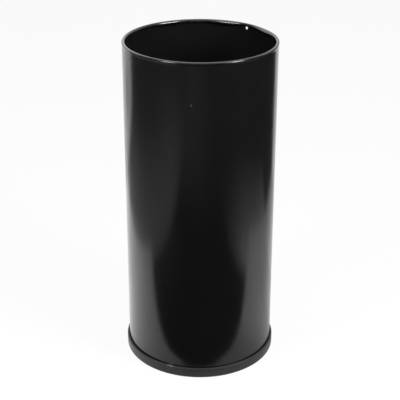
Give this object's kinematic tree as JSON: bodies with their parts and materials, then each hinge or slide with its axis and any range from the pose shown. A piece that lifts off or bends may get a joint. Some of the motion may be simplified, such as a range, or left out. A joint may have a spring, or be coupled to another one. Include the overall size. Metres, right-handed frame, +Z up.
{
  "type": "umbrella stand",
  "caption": "Tall round umbrella stand: a black enamelled steel tube with a curled rim, a moulded foot ring, a pressed bottom and a lift-out drip tray.",
  "frame": {"origin": "middle of the stand on the floor, at the foot ring's underside", "axes": "+Z up along the tube, -Y towards the front that the picture shows, +X to its right; the seam is at the back on the right"},
  "size_m": [0.233, 0.233, 0.5],
  "materials": {
    "black_enamel": "glossy black stove enamel on sheet steel",
    "ring_plastic": "satin black moulded plastic",
    "tray_plastic": "fine-grained black moulded plastic"
  },
  "bodies": {
    "stand": {"body_shell": "black_enamel", "bottom_pan": "black_enamel", "base_ring": "ring_plastic"},
    "tray": {"drip_tray": "tray_plastic"}
  },
  "joints": [
    {"name": "drip_tray_lift", "type": "slide", "parent": "stand", "child": "tray", "axis": [0, 0, 1], "range_m": [0, 0.5]}
  ]
}
